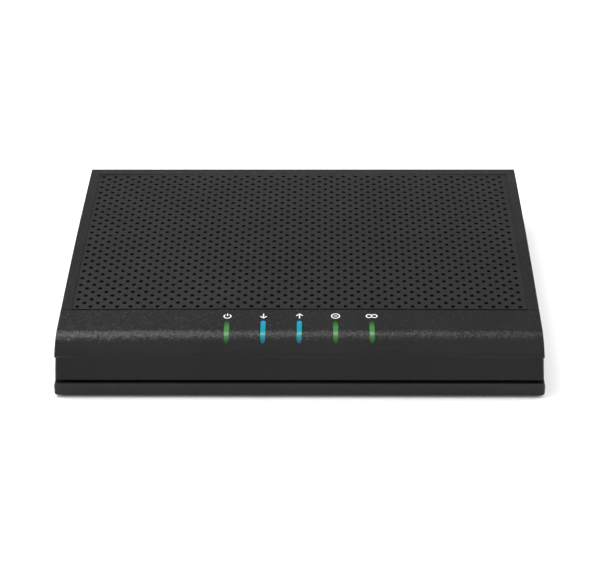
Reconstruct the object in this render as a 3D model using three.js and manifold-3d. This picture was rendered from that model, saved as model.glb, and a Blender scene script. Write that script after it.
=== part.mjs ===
// A desktop cable modem: a low black box with a perforated top, a rounded front bezel with five
// light pipes, a shadow groove above its base, and its connectors on the rear panel.
// Millimetres, +Z up, the front faces -Y, and the object stands on its four rubber feet at Z = 0.

import * as THREE from 'three';
import { mergeVertices } from 'three/addons/utils/BufferGeometryUtils.js';
import Module from 'manifold-3d';

const wasm = await Module();
wasm.setup();

// ---------------------------------------------------------------- driving dimensions

const GAP = 0.3;                    // clearance between neighbouring pieces
const WALL = 2.0;                   // moulded wall thickness

// Heights
const FOOT_HEIGHT = 1.0;            // how far the feet stand proud of the base
const BASE_BOTTOM = FOOT_HEIGHT;
const BASE_TOP = 6.35;              // lower edge of the shadow groove
const BODY_BOTTOM = 7.6;            // upper edge of the shadow groove
const LIP = 16.6;                   // lower edge of the bezel and of the top cover
const BODY_TOP = LIP - GAP;
const CROWN_PEAK = 25.25;           // highest point of the top cover

// Plan
const BASE_HALF_X = 90.0;
const BASE_FRONT = -68.9;
const BASE_BACK = 69.8;
const BODY_BACK = 69.4;
const BODY_FRONT_BOTTOM = -68.5;
const BODY_FRONT_TOP = -67.2;
const TOP_HALF_X = 88.8;            // half width of the top at the reference height
const TOP_REFERENCE = 24.0;
const SIDE_DRAFT = Math.tan(THREE.MathUtils.degToRad(3.2));
const BODY_STEP = 0.3;              // how far the body shell sits inside the lip
const CORNER = 1.2;                 // vertical corners, seen from above
const BASE_EDGE = 0.6;              // radius round the underside of the base
const BASE_CHAMFER = 0.45;          // chamfer along the sides of the base, at its top
const BASE_CHAMFER_HEIGHT = 1.5;

// Crowned top
const CROWN_RADIUS = 1180;
const CROWN_CENTRE_Y = 9.4;
const CROWN_STEPS = 14;
const SEAM_Y = -45.3;               // seam between the bezel and the top cover
const PANEL_RECESS = 0.2;
const PANEL_THICKNESS = 1.6;
const PANEL_HALF_X = 84.3;
const PANEL_BEVEL = 0.9;            // width of the slope between the border and the panel
const PANEL_FRONT = -44.25;
const PANEL_BACK = 63.9;

// Bezel curve
const CURVE_START_Y = -58.5;
const CURVE_RADIUS = 10.0;
const CURVE_END_TILT = THREE.MathUtils.degToRad(70);
const CURVE_STEPS = 12;

// Light pipes
const PIPE_NAMES = ['power', 'downstream', 'upstream', 'online', 'link'];
const PIPE_PITCH = 13.3;
const PIPE_WIDTH = 1.8;
const PIPE_GAP = 0.2;
const PIPE_WINDOW_BACK_Y = -53.2;
const PIPE_WINDOW_FRONT_Y = -65.1;
const PIPE_STEM_Y = -55.6;
const PIPE_STEM_DEPTH = 3.0;

// Board and case fastening
const FLOOR_TOP = 3.0;
const BOARD_BOTTOM = 5.7;
const BOARD_TOP = 7.3;
const ON_BOARD = BOARD_TOP + GAP;
const BOARD_HALF_X = 70;
const BOARD_FRONT = -62;
const BOARD_BACK = 64.0;
const RIM_TOP = 9.4;                // top of the base's upright rim inside the body shell
const BOSS_SPLIT = 8.0;             // where the base's and the top cover's screw bosses meet
const BOSS_TOP = 20.5;
const CASE_SCREW_X = 80;
const CASE_SCREW_Y = [-40, 50];
const BOARD_SCREW_X = 64;
const BOARD_SCREW_Y = [-44, 44];
const FOOT_X = 78;
const FOOT_Y = [-57, 60];
const FOOT_RADIUS = 5.5;
const FOOT_POCKET = 0.9;            // depth of the round pocket that holds each foot

// Rear panel and connectors
const REAR_OPENING_HALF_X = 78;
const REAR_OPENING_TOP = 21.6;
const REAR_PANEL_OUTER = 67.8;
const REAR_PANEL_INNER = 66.2;
const COAX_X = -58;
const COAX_Z = 14.1;
const COAX_THREAD_RADIUS = 4.75;
const COAX_BORE_RADIUS = 3.5;
const COAX_BORE_START = 57;
const COAX_CONTACT_RADIUS = 0.8;
const COAX_RING_RADIUS = COAX_THREAD_RADIUS + 0.25;   // inside of the washer and of the nut
const COAX_WASHER_THICKNESS = 0.7;
const COAX_END = 76.8;
const ETHERNET_X = 4;
const ETHERNET_HALF_WIDTH = 8;
const ETHERNET_TOP = 20.7;
const POWER_X = 58;
const POWER_Z = 13.2;
const POWER_COLLAR_RADIUS = 3.9;
const POWER_HOLE_RADIUS = 2.95;
const RESET_X = 33;
const RESET_Z = 11.0;

const OBJECT_CENTRE_Y = (COAX_END + BASE_FRONT) / 2;

// ---------------------------------------------------------------- colours

const COLOURS = {
  housing: [0x2b2b2b, 0.62, 0],
  smoke: [0x232323, 0.6, 0],
  rubber: [0x1a1a1a, 0.9, 0],
  steel: [0xb8babb, 0.35, 1],
  nickel: [0xc6c4bd, 0.28, 1],
  gold: [0xd8b25a, 0.3, 1],
  aluminium: [0x9fa2a6, 0.45, 1],
  blackPlastic: [0x161616, 0.5, 0],
  whitePlastic: [0xdcdcd6, 0.45, 0],
  laminate: [0x17553a, 0.5, 0],
  chip: [0x1d1d1f, 0.55, 0],
  greyPad: [0x8d949b, 0.85, 0],
  capacitorSleeve: [0x20242c, 0.4, 0],
  greenPipe: [0x3f8a45, 0.2, 0],
  bluePipe: [0x1797b0, 0.2, 0],
};

function material(name) {
  const [color, roughness, metalness] = COLOURS[name];
  return new THREE.MeshStandardMaterial({ color, roughness, metalness });
}

// ---------------------------------------------------------------- solids

function solid(geometry) {
  const bare = geometry.clone();
  bare.deleteAttribute('normal');
  bare.deleteAttribute('uv');
  const merged = mergeVertices(bare, 1e-4);
  return new wasm.Manifold(new wasm.Mesh({
    numProp: 3,
    vertProperties: new Float32Array(merged.attributes.position.array),
    triVerts: new Uint32Array(merged.index.array),
  }));
}

function geometryOf(manifold) {
  const mesh = manifold.getMesh();
  const geometry = new THREE.BufferGeometry();
  geometry.setAttribute('position', new THREE.BufferAttribute(mesh.vertProperties, 3));
  geometry.setIndex(new THREE.BufferAttribute(mesh.triVerts, 1));
  geometry.computeVertexNormals();
  return geometry;
}

function union(first, ...others) {
  return others.reduce((sum, part) => sum.add(part), first);
}

function cut(body, ...tools) {
  return tools.reduce((rest, tool) => rest.subtract(tool), body);
}

function block(x0, x1, y0, y1, z0, z1) {
  const geometry = new THREE.BoxGeometry(x1 - x0, y1 - y0, z1 - z0);
  geometry.translate((x0 + x1) / 2, (y0 + y1) / 2, (z0 + z1) / 2);
  return solid(geometry);
}

// A block centred on a point of the XY plane.
function blockAt(x, y, sizeX, sizeY, z0, z1) {
  return block(x - sizeX / 2, x + sizeX / 2, y - sizeY / 2, y + sizeY / 2, z0, z1);
}

function rodUp(x, y, radius, z0, z1, sides = 24, topRadius = radius) {
  const geometry = new THREE.CylinderGeometry(topRadius, radius, z1 - z0, sides);
  geometry.rotateX(Math.PI / 2);
  geometry.translate(x, y, (z0 + z1) / 2);
  return solid(geometry);
}

function rodBack(x, z, radius, y0, y1, sides = 24) {
  const geometry = new THREE.CylinderGeometry(radius, radius, y1 - y0, sides);
  geometry.translate(x, (y0 + y1) / 2, z);
  return solid(geometry);
}

// An outline in the YZ plane, stretched along X so that its half width at each height is halfAt(z).
function profileAcross(outline, halfAt) {
  const geometry = new THREE.ExtrudeGeometry(new THREE.Shape(outline), { depth: 2, bevelEnabled: false });
  geometry.translate(0, 0, -1);
  const toYZ = new THREE.Matrix4().makeBasis(
    new THREE.Vector3(0, 1, 0), new THREE.Vector3(0, 0, 1), new THREE.Vector3(1, 0, 0));
  geometry.applyMatrix4(toYZ);
  const position = geometry.attributes.position;
  for (let i = 0; i < position.count; i += 1) {
    position.setX(i, Math.sign(position.getX(i)) * halfAt(position.getZ(i)));
  }
  return solid(geometry);
}

// A closed body through a stack of outlines that all have the same number of points.
function loft(rings) {
  const count = rings[0].length;
  const positions = rings.flat().flatMap((point) => [point.x, point.y, point.z]);
  const index = [];
  for (let level = 0; level < rings.length - 1; level += 1) {
    for (let i = 0; i < count; i += 1) {
      const a = level * count + i;
      const b = level * count + (i + 1) % count;
      index.push(a, b, b + count, a, b + count, a + count);
    }
  }
  const flat = rings[0].map((point) => new THREE.Vector2(point.x, point.y));
  const topStart = (rings.length - 1) * count;
  for (const [a, b, c] of THREE.ShapeUtils.triangulateShape(flat, [])) {
    index.push(a, c, b);
    index.push(topStart + a, topStart + b, topStart + c);
  }
  const geometry = new THREE.BufferGeometry();
  geometry.setAttribute('position', new THREE.Float32BufferAttribute(positions, 3));
  geometry.setIndex(index);
  return solid(geometry);
}

function roundedRing({ z, halfX, front, back, corner = CORNER }) {
  const points = [];
  const centres = [
    [halfX - corner, back - corner, 0],
    [-halfX + corner, back - corner, 90],
    [-halfX + corner, front + corner, 180],
    [halfX - corner, front + corner, 270],
  ];
  const steps = 4;
  for (const [x, y, startDegrees] of centres) {
    for (let i = 0; i <= steps; i += 1) {
      const angle = THREE.MathUtils.degToRad(startDegrees + 90 * i / steps);
      points.push(new THREE.Vector3(x + corner * Math.cos(angle), y + corner * Math.sin(angle), z));
    }
  }
  return points;
}

// ---------------------------------------------------------------- the crowned top surface

function crownAt(y) {
  return CROWN_PEAK - (y - CROWN_CENTRE_Y) ** 2 / (2 * CROWN_RADIUS);
}

function halfWidthAt(z) {
  return TOP_HALF_X + (TOP_REFERENCE - z) * SIDE_DRAFT;
}

// A body whose lower and upper faces are given along Y, with its own half width on each of them.
function crownedBlock({ front, back, bottomAt, topAt, halfBottom, halfTop }) {
  const rings = [];
  for (let i = 0; i <= CROWN_STEPS; i += 1) {
    const y = THREE.MathUtils.lerp(front, back, i / CROWN_STEPS);
    const low = bottomAt(y);
    const high = topAt(y);
    rings.push([
      [-halfBottom(low), y, low], [halfBottom(low), y, low],
      [halfTop(high), y, high], [-halfTop(high), y, high],
    ]);
  }
  const index = [];
  for (let level = 0; level < CROWN_STEPS; level += 1) {
    for (let i = 0; i < 4; i += 1) {
      const a = level * 4 + i;
      const b = level * 4 + (i + 1) % 4;
      index.push(a, b + 4, b, a, a + 4, b + 4);
    }
  }
  const end = CROWN_STEPS * 4;
  index.push(0, 1, 2, 0, 2, 3, end, end + 2, end + 1, end, end + 3, end + 2);
  const geometry = new THREE.BufferGeometry();
  geometry.setAttribute('position', new THREE.Float32BufferAttribute(rings.flat(2), 3));
  geometry.setIndex(index);
  return solid(geometry);
}

const fixed = (value) => () => value;

// The bezel's outer profile from the seam to the lip, moved inward by an offset.
function bezelProfile(offset) {
  const slope = (CROWN_CENTRE_Y - SEAM_Y) / CROWN_RADIUS;
  const startTilt = Math.atan(slope);
  const seamZ = crownAt(SEAM_Y);
  const startZ = seamZ - (SEAM_Y - CURVE_START_Y) * slope;
  const centreY = CURVE_START_Y + CURVE_RADIUS * Math.sin(startTilt);
  const centreZ = startZ - CURVE_RADIUS * Math.cos(startTilt);
  const radius = CURVE_RADIUS - offset;
  const points = [new THREE.Vector2(SEAM_Y, seamZ - offset)];
  for (let i = 0; i <= CURVE_STEPS; i += 1) {
    const tilt = THREE.MathUtils.lerp(startTilt, CURVE_END_TILT, i / CURVE_STEPS);
    points.push(new THREE.Vector2(centreY - radius * Math.sin(tilt), centreZ + radius * Math.cos(tilt)));
  }
  return points;
}

function bezelBlock(offset, bottom, back, halfAt) {
  const profile = bezelProfile(offset);
  const first = profile[0];
  const last = profile[profile.length - 1];
  const outline = [
    new THREE.Vector2(back, bottom),
    new THREE.Vector2(back, first.y),
    ...profile,
    new THREE.Vector2(last.x, bottom),
  ];
  if (back === SEAM_Y) outline.splice(1, 1);
  return profileAcross(outline, halfAt);
}

// ---------------------------------------------------------------- enclosure

// The base's outside: a slab with a rounded underside and a chamfer along the top of its two sides.
function baseSlab() {
  const steps = 4;
  const rings = [];
  for (let i = 0; i <= steps; i += 1) {
    const angle = Math.PI / 2 * i / steps;
    const inset = BASE_EDGE * (1 - Math.sin(angle));
    rings.push({ z: BASE_BOTTOM + BASE_EDGE * (1 - Math.cos(angle)), insetX: inset, insetY: inset });
  }
  rings.push({ z: BASE_TOP - BASE_CHAMFER_HEIGHT, insetX: 0, insetY: 0 });
  rings.push({ z: BASE_TOP, insetX: BASE_CHAMFER, insetY: 0 });
  return loft(rings.map(({ z, insetX, insetY }) => roundedRing({
    z, halfX: BASE_HALF_X - insetX, front: BASE_FRONT + insetY, back: BASE_BACK - insetY,
  })));
}

function baseCover() {
  const rimHalfX = 87.0;
  const rimFront = -65.1;
  const rimBack = 66.0;
  const rimWall = 1.6;
  const rim = block(-rimHalfX, rimHalfX, rimFront, rimBack, BASE_TOP - 1, RIM_TOP);
  const hollow = block(
    -rimHalfX + rimWall, rimHalfX - rimWall, rimFront + rimWall, rimBack - rimWall, FLOOR_TOP, RIM_TOP + 1);
  const notchHalfX = REAR_OPENING_HALF_X + GAP;
  const rearNotch = block(-notchHalfX, notchHalfX, rimBack - 2 * rimWall, rimBack + 1, BASE_TOP, RIM_TOP + 1);
  let cover = cut(union(baseSlab(), rim), hollow, rearNotch);
  const boss = { radius: 4.4, bore: 1.8, headBore: 3.3, headSeat: 3.6 };
  for (const x of [-CASE_SCREW_X, CASE_SCREW_X]) {
    for (const y of CASE_SCREW_Y) {
      cover = cut(
        cover.add(rodUp(x, y, boss.radius, FLOOR_TOP - 0.5, BOSS_SPLIT)),
        rodUp(x, y, boss.bore, 0, BOSS_SPLIT + 1, 16),
        rodUp(x, y, boss.headBore, 0, boss.headSeat));
    }
  }
  const post = { radius: 3.2, bore: 1.55 };
  for (const x of [-BOARD_SCREW_X, BOARD_SCREW_X]) {
    for (const y of BOARD_SCREW_Y) {
      cover = cut(
        cover.add(rodUp(x, y, post.radius, FLOOR_TOP - 0.5, BOARD_BOTTOM - GAP)),
        rodUp(x, y, post.bore, FLOOR_TOP, BOARD_BOTTOM, 16));
    }
  }
  for (const x of [-FOOT_X, FOOT_X]) {
    for (const y of FOOT_Y) {
      cover = cut(cover, rodUp(x, y, FOOT_RADIUS + GAP, 0, BASE_BOTTOM + FOOT_POCKET));
    }
  }
  const slotWidth = 2.2;
  const slotLength = 26;
  const slotPitch = 6;
  const slotColumns = 9;
  for (const groupX of [-36, 36]) {
    for (let i = 0; i < slotColumns; i += 1) {
      const x = groupX + (i - (slotColumns - 1) / 2) * slotPitch;
      cover = cut(cover, blockAt(x, 4, slotWidth, slotLength, 0, FLOOR_TOP + 1));
    }
  }
  return cover;
}

function bodyShell() {
  const outer = loft([
    roundedRing({
      z: BODY_BOTTOM, halfX: halfWidthAt(BODY_BOTTOM) - BODY_STEP,
      front: BODY_FRONT_BOTTOM, back: BODY_BACK,
    }),
    roundedRing({
      z: BODY_TOP, halfX: halfWidthAt(BODY_TOP) - BODY_STEP,
      front: BODY_FRONT_TOP, back: BODY_BACK,
    }),
  ]);
  const insideHalfX = 87.3;
  const insideFront = -65.4;
  const inside = block(-insideHalfX, insideHalfX, insideFront, BODY_BACK - WALL, 0, LIP);
  const rearOpening = block(
    -REAR_OPENING_HALF_X, REAR_OPENING_HALF_X, BODY_BACK - 3 * WALL, BODY_BACK + 1, 0, LIP);
  return cut(outer, inside, rearOpening);
}

function topCover() {
  const front = SEAM_Y + GAP;
  const outer = crownedBlock({
    front, back: BODY_BACK, bottomAt: fixed(LIP), topAt: crownAt, halfBottom: halfWidthAt, halfTop: halfWidthAt,
  });
  const ledgeDrop = PANEL_RECESS + PANEL_THICKNESS + GAP;
  const ledgeHeight = 1.8;
  const pocket = crownedBlock({
    front: front - 1, back: PANEL_BACK + GAP,
    bottomAt: (y) => crownAt(y) - ledgeDrop, topAt: (y) => crownAt(y) + 1,
    halfBottom: fixed(PANEL_HALF_X + GAP), halfTop: fixed(PANEL_HALF_X + GAP),
  });
  const bevel = crownedBlock({
    front: front - 1, back: PANEL_BACK + GAP, bottomAt: (y) => crownAt(y) - PANEL_RECESS,
    topAt: (y) => crownAt(y) + PANEL_RECESS,
    halfBottom: fixed(PANEL_HALF_X + GAP), halfTop: fixed(PANEL_HALF_X + GAP + 2 * PANEL_BEVEL),
  });
  const airWayHalfX = 82.4;
  const airWay = block(-airWayHalfX, airWayHalfX, -40.5, 60.6, 0, CROWN_PEAK + 1);
  const insideHalfX = 86.8;
  const inside = crownedBlock({
    front: front - 1, back: BODY_BACK - WALL, bottomAt: fixed(0),
    topAt: (y) => crownAt(y) - ledgeDrop - ledgeHeight,
    halfBottom: fixed(insideHalfX), halfTop: fixed(insideHalfX),
  });
  const rearOpening = block(-REAR_OPENING_HALF_X, REAR_OPENING_HALF_X, 64, 70, 0, REAR_OPENING_TOP);
  const bayTop = ETHERNET_TOP + GAP;
  const connectorBay = block(-REAR_OPENING_HALF_X, REAR_OPENING_HALF_X, 55, REAR_PANEL_INNER, 0, bayTop);
  let cover = cut(outer, pocket, bevel, airWay, inside, rearOpening, connectorBay);
  const bossRadius = 3.6;
  const boreRadius = 1.7;
  const ribThickness = 2;
  const ribLength = insideHalfX - CASE_SCREW_X + 0.4;
  for (const side of [-1, 1]) {
    const x = side * CASE_SCREW_X;
    for (const y of CASE_SCREW_Y) {
      const rib = blockAt(x + side * ribLength / 2, y, ribLength, ribThickness, LIP + 1, BOSS_TOP);
      const boss = rodUp(x, y, bossRadius, BOSS_SPLIT + GAP, BOSS_TOP);
      cover = cut(union(cover, boss, rib), rodUp(x, y, boreRadius, BOSS_SPLIT, LIP + 0.4, 16));
    }
  }
  return cover;
}

// The perforated insert: its top surface lies a little below the border around it.
function ventPanel() {
  return crownedBlock({
    front: PANEL_FRONT, back: PANEL_BACK,
    bottomAt: (y) => crownAt(y) - PANEL_RECESS - PANEL_THICKNESS, topAt: (y) => crownAt(y) - PANEL_RECESS,
    halfBottom: fixed(PANEL_HALF_X), halfTop: fixed(PANEL_HALF_X),
  });
}

// A window with round ends, standing square to the middle of the bezel's curve.
function windowPrism(x, grow) {
  const profile = bezelProfile(0);
  const heightAt = (y) => {
    const next = profile.findIndex((point) => point.x < y);
    const [a, b] = [profile[next - 1], profile[next]];
    return THREE.MathUtils.mapLinear(y, a.x, b.x, a.y, b.y);
  };
  const back = new THREE.Vector2(PIPE_WINDOW_BACK_Y, heightAt(PIPE_WINDOW_BACK_Y));
  const front = new THREE.Vector2(PIPE_WINDOW_FRONT_Y, heightAt(PIPE_WINDOW_FRONT_Y));
  const radius = PIPE_WIDTH / 2 + grow;
  const halfStraight = back.distanceTo(front) / 2 - PIPE_WIDTH / 2;
  const shape = new THREE.Shape();
  shape.absarc(0, halfStraight, radius, 0, Math.PI);
  shape.absarc(0, -halfStraight, radius, Math.PI, 2 * Math.PI);
  const depth = 16;
  const geometry = new THREE.ExtrudeGeometry(shape, { depth, bevelEnabled: false, curveSegments: 6 });
  geometry.translate(0, 0, -depth / 2);
  geometry.rotateX(Math.atan2(back.y - front.y, back.x - front.x));
  geometry.translate(x, (back.x + front.x) / 2, (back.y + front.y) / 2);
  return solid(geometry);
}

function pipeX(index) {
  return (index - (PIPE_NAMES.length - 1) / 2) * PIPE_PITCH;
}

function frontBezel() {
  const outer = bezelBlock(0, LIP, SEAM_Y, halfWidthAt);
  const sideWall = 2.2;
  const inner = bezelBlock(WALL, LIP - 1, SEAM_Y + 1, (z) => halfWidthAt(z) - sideWall);
  let bezel = cut(outer, inner);
  PIPE_NAMES.forEach((name, index) => {
    bezel = bezel.subtract(windowPrism(pipeX(index), PIPE_GAP));
  });
  return bezel;
}

// The front cross rail under the seam carries the panel's front edge and the bezel's rear edge.
function seamRail() {
  const top = crownAt(SEAM_Y) - PANEL_RECESS - PANEL_THICKNESS - GAP;
  const halfX = 84.5;
  const slab = block(-halfX, halfX, SEAM_Y - 3.2, SEAM_Y + 4.3, top - 1.8, top - 0.1);
  const tabSpacing = 50;
  const tab = (x) => blockAt(x, SEAM_Y - 1.8, 8, 2.4, top - 6, top - 1.5);
  return union(slab, tab(-tabSpacing), tab(0), tab(tabSpacing));
}

function lightPipe(x) {
  const halfAcross = fixed(PIPE_WIDTH);
  const shell = cut(
    bezelBlock(0, LIP, SEAM_Y, halfAcross),
    bezelBlock(WALL + 0.6, LIP - 1, SEAM_Y + 1, fixed(PIPE_WIDTH + 1)));
  const placed = shell.intersect(windowPrism(0, 0));
  const stem = blockAt(0, PIPE_STEM_Y, PIPE_WIDTH - 0.2, PIPE_STEM_DEPTH, ON_BOARD + 1.5, 22.4);
  const moved = geometryOf(placed.add(stem));
  moved.translate(x, 0, 0);
  return solid(moved);
}

function rearPanel() {
  const plate = block(
    -REAR_OPENING_HALF_X + GAP, REAR_OPENING_HALF_X - GAP, REAR_PANEL_INNER, REAR_PANEL_OUTER,
    BASE_TOP + GAP, REAR_OPENING_TOP - GAP);
  const through = [REAR_PANEL_INNER - 1, REAR_PANEL_OUTER + 1];
  const jackHalf = ETHERNET_HALF_WIDTH + GAP;
  const pinholeRadius = 1.1;
  return cut(
    plate,
    rodBack(COAX_X, COAX_Z, COAX_THREAD_RADIUS + GAP, ...through),
    block(ETHERNET_X - jackHalf, ETHERNET_X + jackHalf, ...through, ON_BOARD - GAP, ETHERNET_TOP + GAP),
    rodBack(POWER_X, POWER_Z, POWER_COLLAR_RADIUS + GAP, ...through),
    rodBack(RESET_X, RESET_Z, pinholeRadius, ...through, 16));
}

function foot(x, y) {
  const taper = 0.5;
  return rodUp(x, y, FOOT_RADIUS - taper, 0, BASE_BOTTOM + FOOT_POCKET - GAP, 24, FOOT_RADIUS);
}

// ---------------------------------------------------------------- fasteners

function crossHeadScrew(x, y, { headRadius, headHeight, shankRadius, length, seat, headUp }) {
  const away = headUp ? 1 : -1;
  const span = (from, to) => (from < to ? [from, to] : [to, from]);
  const head = rodUp(x, y, headRadius, ...span(seat, seat + away * headHeight), 20);
  const shank = rodUp(x, y, shankRadius, ...span(seat + away * headHeight / 2, seat - away * length), 14);
  const recess = span(seat + away * headHeight * 0.4, seat + away * (headHeight + 1));
  const armLength = headRadius * 1.2;
  const armWidth = headRadius * 0.26;
  return cut(
    head.add(shank),
    blockAt(x, y, armLength, armWidth, ...recess),
    blockAt(x, y, armWidth, armLength, ...recess));
}

function caseScrew(x, y) {
  return crossHeadScrew(x, y, {
    headRadius: 2.8, headHeight: 1.8, shankRadius: 1.4, length: 12, seat: 3.3, headUp: false,
  });
}

function boardScrew(x, y) {
  return crossHeadScrew(x, y, {
    headRadius: 2.5, headHeight: 1.6, shankRadius: 1.2, length: 3.9, seat: ON_BOARD, headUp: true,
  });
}

// ---------------------------------------------------------------- board and what it carries

function mainBoard() {
  const holeRadius = 1.6;
  let board = block(-BOARD_HALF_X, BOARD_HALF_X, BOARD_FRONT, BOARD_BACK, BOARD_BOTTOM, BOARD_TOP);
  for (const x of [-BOARD_SCREW_X, BOARD_SCREW_X]) {
    for (const y of BOARD_SCREW_Y) {
      board = board.subtract(rodUp(x, y, holeRadius, 0, BOARD_TOP + 1, 16));
    }
  }
  return board;
}

function led(x) {
  const body = blockAt(x, PIPE_STEM_Y, 3.0, 1.6, ON_BOARD, ON_BOARD + 0.7);
  const lens = blockAt(x, PIPE_STEM_Y, 1.8, 1.4, ON_BOARD + 0.6, ON_BOARD + 1.1);
  return body.add(lens);
}

function tunerShield() {
  const [x0, x1, y0, y1] = [-69, -42, 14, 51];
  const top = 14.2;
  const sheet = 0.5;
  const can = block(x0, x1, y0, y1, ON_BOARD, top);
  const inside = block(x0 + sheet, x1 - sheet, y0 + sheet, y1 - sheet, 0, top - sheet);
  return can.subtract(inside);
}

function heatSink(x, y) {
  const size = 38;
  const [bottom, plateTop, finTop] = [10.2, 12.0, 19.5];
  const fins = 9;
  const finWidth = 1.3;
  let sink = blockAt(x, y, size, size, bottom, plateTop);
  for (let i = 0; i < fins; i += 1) {
    const finX = x + (i / (fins - 1) - 0.5) * (size - finWidth);
    sink = sink.add(blockAt(finX, y, finWidth, size, plateTop - 0.5, finTop));
  }
  return sink;
}

function gullWingChip(x, y, bodyX, bodyY, height, legs) {
  const standoff = 0.3;
  const legWidth = 0.45;
  const legHalf = 0.15;               // half the thickness of a leg
  const reach = 0.6;                  // how far a leg stands out from the body
  let chip = blockAt(x, y, bodyX, bodyY, ON_BOARD + standoff, ON_BOARD + height);
  const pitch = (bodyX - 1.2) / (legs - 1);
  for (let i = 0; i < legs; i += 1) {
    const legX = x + (i - (legs - 1) / 2) * pitch;
    const legZ = ON_BOARD + height * 0.5;
    const footY = bodyY / 2 + reach + 0.2;
    chip = union(
      chip,
      blockAt(legX, y, legWidth, bodyY + 2 * reach, legZ - legHalf, legZ + legHalf),
      blockAt(legX, y - footY, legWidth, reach, ON_BOARD, legZ + legHalf),
      blockAt(legX, y + footY, legWidth, reach, ON_BOARD, legZ + legHalf));
  }
  return chip;
}

function ballGridChip(x, y, size) {
  const substrate = blockAt(x, y, size, size, ON_BOARD, ON_BOARD + 0.7);
  const lid = blockAt(x, y, size * 0.86, size * 0.86, ON_BOARD + 0.6, ON_BOARD + 1.4);
  return substrate.add(lid);
}

function canCapacitor(x, y, radius, top) {
  const neck = top - 1.6;
  return union(
    rodUp(x, y, radius, ON_BOARD, neck - 0.4),
    rodUp(x, y, radius - 0.35, neck - 0.6, neck + 0.3),
    rodUp(x, y, radius, neck + 0.1, top));
}

function powerInductor(x, y) {
  const flange = 4.2;
  const core = 3.5;
  return union(
    rodUp(x, y, flange, ON_BOARD, ON_BOARD + 1.0),
    rodUp(x, y, core, ON_BOARD + 0.8, ON_BOARD + 4.0),
    rodUp(x, y, flange, ON_BOARD + 3.8, ON_BOARD + 4.8));
}

function clockCrystal(x, y) {
  const shape = new THREE.Shape();
  const radius = 2.2;
  const halfStraight = 3.2;
  shape.absarc(halfStraight, 0, radius, -Math.PI / 2, Math.PI / 2);
  shape.absarc(-halfStraight, 0, radius, Math.PI / 2, Math.PI * 1.5);
  const geometry = new THREE.ExtrudeGeometry(shape, { depth: 3.3, bevelEnabled: false, curveSegments: 8 });
  geometry.translate(x, y, ON_BOARD);
  return solid(geometry);
}

// ---------------------------------------------------------------- connectors

function coaxBody() {
  const half = 6;
  const casting = block(COAX_X - half, COAX_X + half, 54, REAR_PANEL_INNER - GAP, ON_BOARD, COAX_Z + half);
  const barrel = rodBack(COAX_X, COAX_Z, COAX_THREAD_RADIUS, COAX_BORE_START + 3, COAX_END);
  const bore = rodBack(COAX_X, COAX_Z, COAX_BORE_RADIUS, COAX_BORE_START, COAX_END + 1);
  return cut(casting.add(barrel), bore);
}

function coaxInsulator() {
  const recess = 1.2;
  const sleeve = rodBack(COAX_X, COAX_Z, COAX_BORE_RADIUS - GAP, COAX_BORE_START + GAP, COAX_END - recess, 20);
  const hole = rodBack(COAX_X, COAX_Z, COAX_CONTACT_RADIUS + GAP, COAX_BORE_START + 3, COAX_END, 12);
  return sleeve.subtract(hole);
}

function coaxContact() {
  const socketRadius = 0.45;
  const pin = rodBack(COAX_X, COAX_Z, COAX_CONTACT_RADIUS, COAX_BORE_START + 3 + GAP, COAX_END - 2.4, 12);
  const socket = rodBack(COAX_X, COAX_Z, socketRadius, COAX_END - 8, COAX_END, 8);
  return pin.subtract(socket);
}

// A ring on the coaxial barrel, whose outside has the given number of sides.
function barrelRing(radius, y0, thickness, sides) {
  const hole = rodBack(COAX_X, COAX_Z, COAX_RING_RADIUS, y0 - 1, y0 + thickness + 1);
  return rodBack(COAX_X, COAX_Z, radius, y0, y0 + thickness, sides).subtract(hole);
}

function coaxWasher() {
  return barrelRing(7.0, REAR_PANEL_OUTER + GAP, COAX_WASHER_THICKNESS, 24);
}

function coaxNut() {
  const start = REAR_PANEL_OUTER + GAP + COAX_WASHER_THICKNESS + GAP;
  return barrelRing(6.35, start, 2.3, 6);
}

function ethernetJack() {
  const [jackFront, jackRear] = [47, REAR_PANEL_OUTER - GAP];
  const across = (half) => [ETHERNET_X - half, ETHERNET_X + half];
  const mouthStart = 53;
  const mouthEnd = jackRear + 1;
  const mouthFloor = 11.3;
  return cut(
    block(...across(ETHERNET_HALF_WIDTH), jackFront, jackRear, ON_BOARD, ETHERNET_TOP),
    block(...across(5.95), mouthStart, mouthEnd, mouthFloor, 19.0),
    block(...across(3.1), mouthStart, mouthEnd, 9.9, mouthFloor + 0.7),
    block(...across(1.7), mouthStart + 2, mouthEnd, 8.8, mouthFloor + 0.7));
}

// Eight spring wires on one carrier, under the roof of the socket.
function ethernetContacts() {
  const carrier = block(ETHERNET_X - 5, ETHERNET_X + 5, 53.4, 55.4, 17.2, 18.6);
  const contacts = 8;
  const pitch = 1.02;
  let comb = carrier;
  for (let i = 0; i < contacts; i += 1) {
    const geometry = new THREE.BoxGeometry(0.45, 9.5, 0.3);
    geometry.rotateX(THREE.MathUtils.degToRad(4));
    geometry.translate(ETHERNET_X + (i - (contacts - 1) / 2) * pitch, 59.6, 18.2);
    comb = comb.add(solid(geometry));
  }
  return comb;
}

function powerJack() {
  const housing = block(POWER_X - 4.5, POWER_X + 4.5, 53, REAR_PANEL_INNER - GAP, ON_BOARD, 18.6);
  const collar = rodBack(POWER_X, POWER_Z, POWER_COLLAR_RADIUS, 60, REAR_PANEL_OUTER - 0.4);
  const barrelHole = rodBack(POWER_X, POWER_Z, POWER_HOLE_RADIUS, 57.4, REAR_PANEL_OUTER + 1);
  const pinHole = rodBack(POWER_X, POWER_Z, 1.3, 54.6, 58, 12);
  return cut(housing.add(collar), barrelHole, pinHole);
}

function powerJackPin() {
  return rodBack(POWER_X, POWER_Z, 1.0, 54.9, 66.6, 14);
}

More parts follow.
